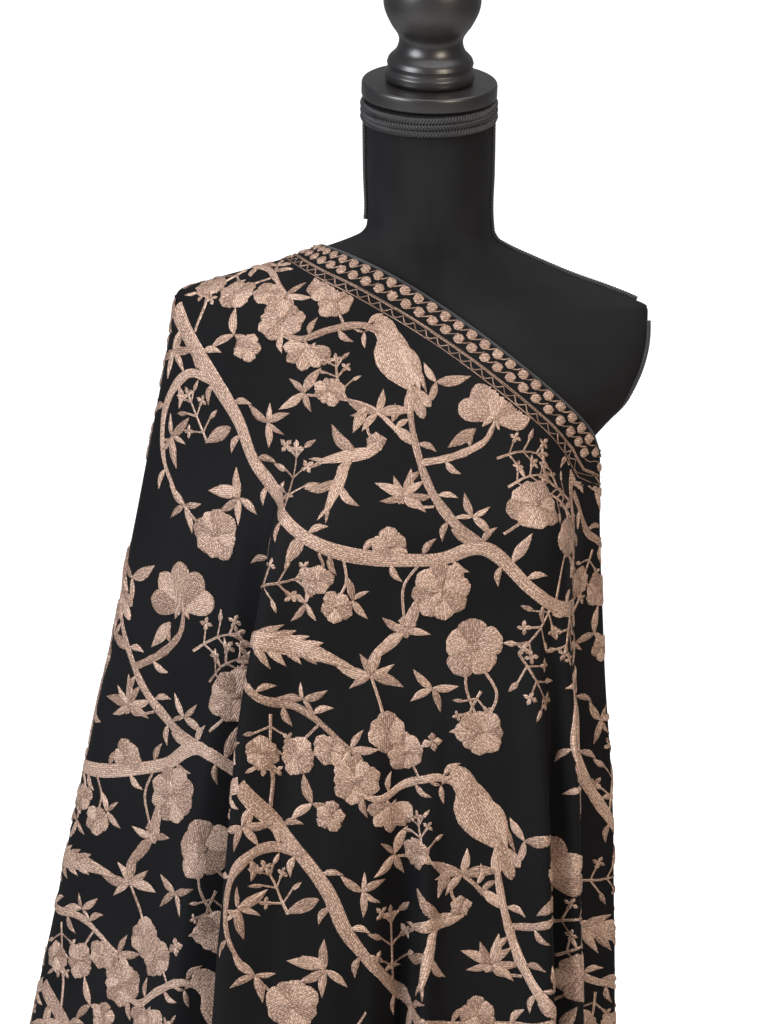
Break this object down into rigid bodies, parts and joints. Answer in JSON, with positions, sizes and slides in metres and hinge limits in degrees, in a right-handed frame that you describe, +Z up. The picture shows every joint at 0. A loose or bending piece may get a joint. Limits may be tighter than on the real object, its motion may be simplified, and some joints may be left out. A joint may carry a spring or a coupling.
{
  "type": "embroidered shawl on dress form",
  "caption": "Large black shawl with all-over bird and blossom embroidery, draped over one shoulder of a limbless dress form on a round stand.",
  "frame": {"origin": "on the floor under the middle of the round base, below the pole", "axes": "+Z up, -Y towards the front of the form, +X to the viewer's right when the front is seen"},
  "size_m": [0.6065, 0.5068, 1.6138],
  "materials": {
    "shawl_cloth": "black fine twill with rose-gold chain-stitch embroidery",
    "form_knit": "matte black knit cover",
    "form_braid": "black braided trim",
    "black_wood": "turned wood, satin black paint",
    "black_steel": "satin black"
  },
  "bodies": {
    "root": {"shawl_front": "shawl_cloth", "shawl_back_left": "shawl_cloth", "shawl_back_right": "shawl_cloth", "form_torso": "form_knit", "neck_braid": "form_braid", "seam_braid_left": "form_braid", "seam_braid_right": "form_braid", "armhole_braid_right": "form_braid", "neck_cap": "black_wood", "finial": "black_wood", "pole_collar": "black_steel", "pole": "black_steel", "base": "black_steel"}
  },
  "joints": []
}
